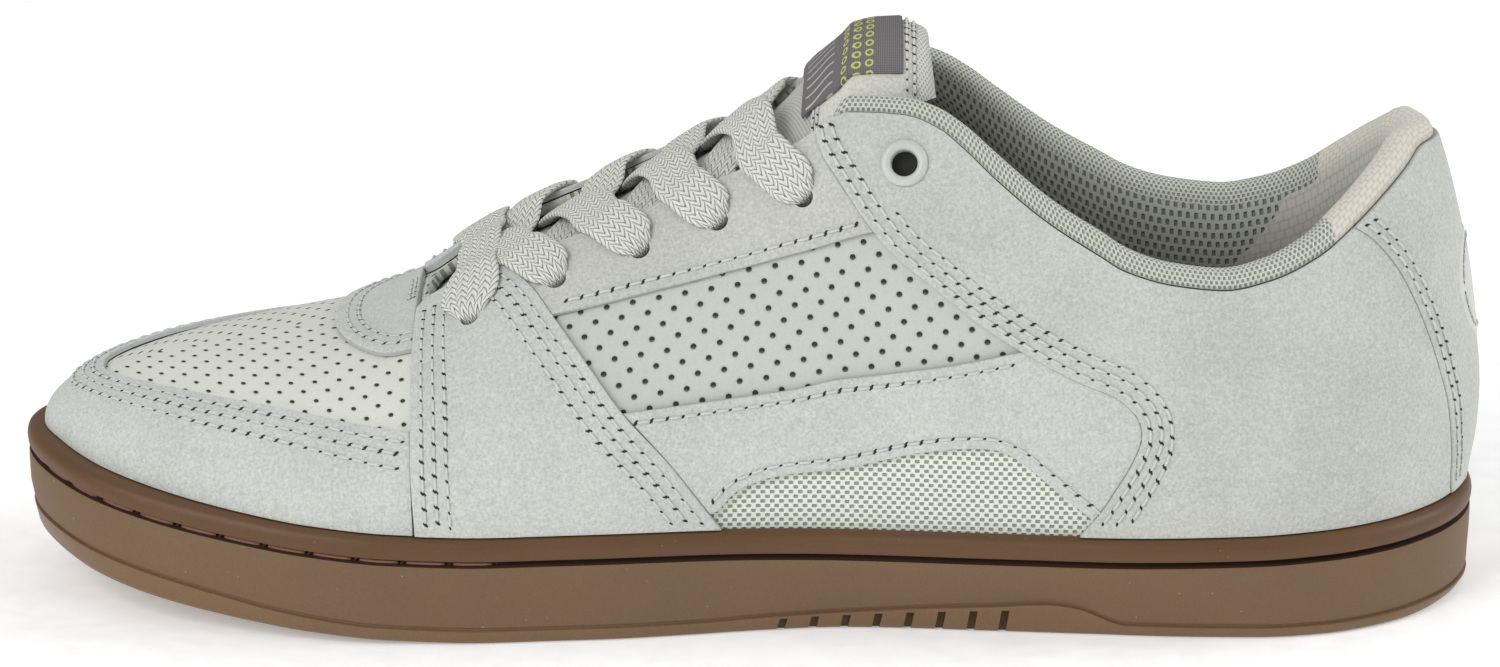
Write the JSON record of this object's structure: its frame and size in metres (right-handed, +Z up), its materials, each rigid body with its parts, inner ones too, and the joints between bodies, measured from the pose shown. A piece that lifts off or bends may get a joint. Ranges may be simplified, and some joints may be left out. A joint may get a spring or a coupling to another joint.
{
  "type": "skateboarding shoe",
  "caption": "Low-cut lace-up skateboarding shoe in pale grey suede panels on a gum rubber cupsole, with a padded collar and tongue.",
  "frame": {"origin": "centre of the bounding box at the ground", "axes": "+Z up, toe towards -X, heel towards +X, medial side towards -Y"},
  "size_m": [0.3005, 0.105, 0.1186],
  "materials": {
    "gum_rubber": "satin gum rubber",
    "insole_cloth": "brushed cloth on foam",
    "upper_leather": "perforated pale grey leather",
    "suede": "pale grey suede",
    "collar_knit": "open spacer knit over foam",
    "tongue_suede": "pale grey suede over foam",
    "label_weave": "woven ribbon",
    "heel_patch_leather": "smooth leather",
    "lace_braid": "flat braid",
    "grommet_resin": "moulded resin"
  },
  "bodies": {
    "root": {"collar": "collar_knit", "eyestay_lateral": "suede", "eyestay_medial": "suede", "forefoot_panel_lateral": "suede", "forefoot_panel_medial": "suede", "grommet_lateral": "grommet_resin", "grommet_medial": "grommet_resin", "heel_counter": "suede", "heel_patch": "heel_patch_leather", "insole": "insole_cloth", "lace_bar": "lace_braid", "lace_cross_1": "lace_braid", "lace_cross_2": "lace_braid", "lace_cross_3": "lace_braid", "lace_cross_4": "lace_braid", "midfoot_band_lateral": "suede", "midfoot_band_medial": "suede", "quarter_lateral": "suede", "quarter_medial": "suede", "sole": "gum_rubber", "throat_piece": "suede", "toe_cap": "suede", "tongue": "tongue_suede", "tongue_label": "label_weave", "upper": "upper_leather"}
  },
  "joints": []
}
